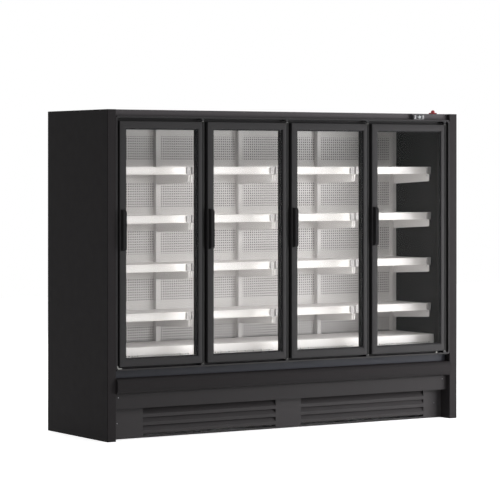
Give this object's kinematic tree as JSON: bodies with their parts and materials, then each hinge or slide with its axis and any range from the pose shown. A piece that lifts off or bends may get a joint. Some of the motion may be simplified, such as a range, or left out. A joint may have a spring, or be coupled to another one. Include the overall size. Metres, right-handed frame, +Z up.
{
  "type": "glass door freezer",
  "caption": "Upright black display freezer case with hinged glass doors, lit shelves, a rounded bumper rail, a louvred plinth and insulated end walls.",
  "frame": {"origin": "on the floor, under the middle of the case with its door handles", "axes": "+X to the right seen from the doors, +Y to the back, +Z up"},
  "size_m": [2.62, 0.805, 2.0263],
  "materials": {
    "case_black": "satin black powder coat",
    "liner_grey": "light grey coated sheet",
    "zinc_steel": "zinc plated steel",
    "lens_white": "opal lens",
    "bumper_black": "matt black moulding",
    "shelf_white": "white powder coat",
    "rail_white": "white profile",
    "machine_black": "black enamel",
    "fin_aluminium": "mill aluminium",
    "fan_plastic": "moulded nylon",
    "valve_brass": "plain brass",
    "valve_red": "red dipped handle",
    "key_grey": "grey rubber key",
    "door_black": "black anodised profile",
    "edge_black": "black profile",
    "door_glass": "clear sealed unit",
    "gasket_black": "magnetic gasket",
    "handle_black": "satin black moulding"
  },
  "bodies": {
    "cabinet": {"end_wall_left": "case_black", "end_wall_right": "case_black", "back_wall": "case_black", "tub_floor": "liner_grey", "roof_panel": "case_black", "header_fascia": "case_black", "door_surround": "case_black", "mullions": "case_black", "led_strips": "lens_white", "sill_panel": "case_black", "bumper": "bumper_black", "bumper_end_caps": "bumper_black", "cove_panel": "case_black", "kick_plate": "case_black", "base_frame": "zinc_steel", "levelling_feet": "zinc_steel", "rear_grille": "case_black", "hinge_brackets": "zinc_steel", "uprights": "liner_grey", "back_panels": "liner_grey", "deck_pans": "liner_grey", "shelves": "shelf_white", "price_rails": "rail_white", "shelf_brackets": "shelf_white", "compressor": "machine_black", "condenser_coil": "fin_aluminium", "condenser_fan_frame": "machine_black", "evaporator_coil": "fin_aluminium", "evaporator_fan_frames": "machine_black", "drain_pan": "fin_aluminium", "roof_valve": "valve_brass", "controller_housing": "bumper_black"},
    "door_1": {"door_frame_1": "door_black", "door_edge_1": "edge_black", "door_glass_1": "door_glass", "door_gasket_1": "gasket_black", "door_handle_1": "handle_black"},
    "door_2": {"door_frame_2": "door_black", "door_edge_2": "edge_black", "door_glass_2": "door_glass", "door_gasket_2": "gasket_black", "door_handle_2": "handle_black"},
    "door_3": {"door_frame_3": "door_black", "door_edge_3": "edge_black", "door_glass_3": "door_glass", "door_gasket_3": "gasket_black", "door_handle_3": "handle_black"},
    "door_4": {"door_frame_4": "door_black", "door_edge_4": "edge_black", "door_glass_4": "door_glass", "door_gasket_4": "gasket_black", "door_handle_4": "handle_black"},
    "condenser_fan": {"condenser_fan_rotor": "fan_plastic"},
    "cold_fan_1": {"evaporator_rotor_1": "fan_plastic"},
    "cold_fan_2": {"evaporator_rotor_2": "fan_plastic"},
    "valve": {"valve_handle": "valve_red"},
    "key_1": {"controller_key_1": "key_grey"},
    "key_2": {"controller_key_2": "key_grey"},
    "key_3": {"controller_key_3": "key_grey"},
    "key_4": {"controller_key_4": "key_grey"}
  },
  "joints": [
    {"name": "door_1_hinge", "type": "hinge", "parent": "cabinet", "child": "door_1", "pos_m": [-0.635, -0.3565, 1.19], "axis": [0, 0, 1], "range_deg": [0, 90]},
    {"name": "door_2_hinge", "type": "hinge", "parent": "cabinet", "child": "door_2", "pos_m": [-0.017, -0.3565, 1.19], "axis": [0, 0, 1], "range_deg": [0, 90]},
    {"name": "door_3_hinge", "type": "hinge", "parent": "cabinet", "child": "door_3", "pos_m": [0.601, -0.3565, 1.19], "axis": [0, 0, 1], "range_deg": [0, 90]},
    {"name": "door_4_hinge", "type": "hinge", "parent": "cabinet", "child": "door_4", "pos_m": [1.219, -0.3565, 1.19], "axis": [0, 0, 1], "range_deg": [0, 90]},
    {"name": "condenser_fan_spin", "type": "hinge", "parent": "cabinet", "child": "condenser_fan", "pos_m": [0.48, -0.0975, 0.2125], "axis": [0, 1, 0], "continuous": true},
    {"name": "cold_fan_1_spin", "type": "hinge", "parent": "cabinet", "child": "cold_fan_1", "pos_m": [-0.45, -0.0715, 0.453], "axis": [0, 1, 0], "continuous": true},
    {"name": "cold_fan_2_spin", "type": "hinge", "parent": "cabinet", "child": "cold_fan_2", "pos_m": [0.45, -0.0715, 0.453], "axis": [0, 1, 0], "continuous": true},
    {"name": "valve_turn", "type": "hinge", "parent": "cabinet", "child": "valve", "pos_m": [1.187, -0.2725, 2.01], "axis": [0, 0, 1], "range_deg": [0, 90]},
    {"name": "key_1_press", "type": "slide", "parent": "cabinet", "child": "key_1", "axis": [0, 1, 0], "range_m": [0, 0.001], "stiffness_N_per_m": 300},
    {"name": "key_2_press", "type": "slide", "parent": "cabinet", "child": "key_2", "axis": [0, 1, 0], "range_m": [0, 0.001], "stiffness_N_per_m": 300},
    {"name": "key_3_press", "type": "slide", "parent": "cabinet", "child": "key_3", "axis": [0, 1, 0], "range_m": [0, 0.001], "stiffness_N_per_m": 300},
    {"name": "key_4_press", "type": "slide", "parent": "cabinet", "child": "key_4", "axis": [0, 1, 0], "range_m": [0, 0.001], "stiffness_N_per_m": 300}
  ]
}
